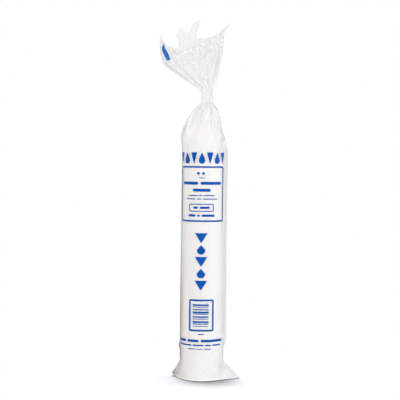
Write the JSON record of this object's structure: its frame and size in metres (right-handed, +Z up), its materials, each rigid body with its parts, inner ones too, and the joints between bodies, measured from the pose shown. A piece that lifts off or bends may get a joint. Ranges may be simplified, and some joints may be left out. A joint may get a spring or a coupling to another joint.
{
  "type": "bagged sleeve of paper cone cups",
  "caption": "Clear printed film bag packed with a nested column of white paper cone cups, sealed flat at its foot and gathered to a narrow neck with an open ruff above.",
  "frame": {"origin": "on the axis of the column of cups, in the plane that the bag's sealed end stands on", "axes": "+Z up along the column towards the neck and ruff, -Y out of the printed front, +X to the right as seen from the front"},
  "size_m": [0.1352, 0.0718, 0.592],
  "materials": {
    "clear_film": "clear glossy polyethylene film, printed on the front in blue",
    "cup_paper": "uncoated white cup paper"
  },
  "bodies": {
    "root": {"film_bag": "clear_film", "nested_cups": "cup_paper", "top_cup": "cup_paper"}
  },
  "joints": []
}
